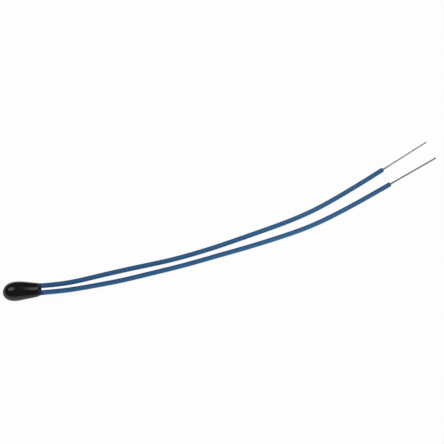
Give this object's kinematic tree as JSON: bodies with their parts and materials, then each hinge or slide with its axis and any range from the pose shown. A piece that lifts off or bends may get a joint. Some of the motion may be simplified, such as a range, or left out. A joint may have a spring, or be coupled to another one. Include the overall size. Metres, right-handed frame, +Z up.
{
  "type": "thermistor",
  "caption": "Small temperature-sensing resistor: a glossy black epoxy-dipped head on insulated blue wire leads with bare solderable ends.",
  "frame": {"origin": "On the table under the middle of the dipped head, halfway from its nose to the tip of the left collar and midway between the two leads", "axes": "+X along the head from its nose to the leads, +Y to the left lead, +Z up from the table the part lies on"},
  "size_m": [0.0545, 0.0197, 0.0022],
  "materials": {
    "epoxy": "glossy black dip-coated epoxy",
    "ceramic": "matt dark sintered ceramic",
    "silver": "matt fired silver",
    "solder": "satin solder",
    "wire": "bright silver-plated wire",
    "insulation": "semi-gloss blue extruded PTFE"
  },
  "bodies": {
    "root": {"epoxy_head": "epoxy", "ntc_chip": "ceramic", "electrode_left": "silver", "electrode_right": "silver", "solder_left": "solder", "solder_right": "solder", "wire_left": "wire", "wire_right": "wire", "insulation_left": "insulation", "insulation_right": "insulation"}
  },
  "joints": []
}
